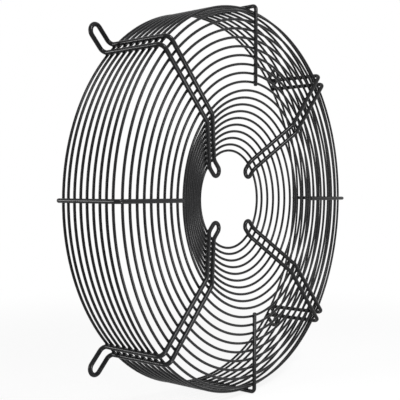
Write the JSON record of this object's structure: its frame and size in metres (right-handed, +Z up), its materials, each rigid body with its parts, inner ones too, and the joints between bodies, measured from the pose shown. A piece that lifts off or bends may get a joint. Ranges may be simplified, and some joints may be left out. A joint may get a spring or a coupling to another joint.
{
  "type": "fan guard",
  "caption": "Black wire basket guard for an axial fan: concentric rings on radial struts, a recessed middle, looped feet for bolting down and looped ears for the motor.",
  "frame": {"origin": "on the fan's axis, in the mounting plane under the feet", "axes": "+Y along the fan's axis, out of the basket's open rear side towards the fan's plate; -Y is the front of the basket; +Z is up; the single spokes lie along X and Z and the double struts halfway between them"},
  "size_m": [0.533, 0.1022, 0.533],
  "materials": {
    "black_coating": "satin"
  },
  "bodies": {
    "root": {"side_ring_1": "black_coating", "side_ring_2": "black_coating", "side_ring_3": "black_coating", "side_ring_4": "black_coating", "side_ring_5": "black_coating", "side_ring_6": "black_coating", "side_ring_7": "black_coating", "side_ring_8": "black_coating", "side_ring_9": "black_coating", "face_ring_1": "black_coating", "face_ring_2": "black_coating", "face_ring_3": "black_coating", "face_ring_4": "black_coating", "face_ring_5": "black_coating", "face_ring_6": "black_coating", "face_ring_7": "black_coating", "face_ring_8": "black_coating", "face_ring_9": "black_coating", "face_ring_10": "black_coating", "recess_ring_1": "black_coating", "recess_ring_2": "black_coating", "recess_ring_3": "black_coating", "recess_ring_4": "black_coating", "recess_ring_5": "black_coating", "recess_ring_6": "black_coating", "recess_ring_7": "black_coating", "recess_ring_8": "black_coating", "recess_ring_9": "black_coating", "strut_top_right": "black_coating", "strut_top_left": "black_coating", "strut_bottom_left": "black_coating", "strut_bottom_right": "black_coating", "spoke_right": "black_coating", "spoke_top": "black_coating", "spoke_left": "black_coating", "spoke_bottom": "black_coating"}
  },
  "joints": []
}
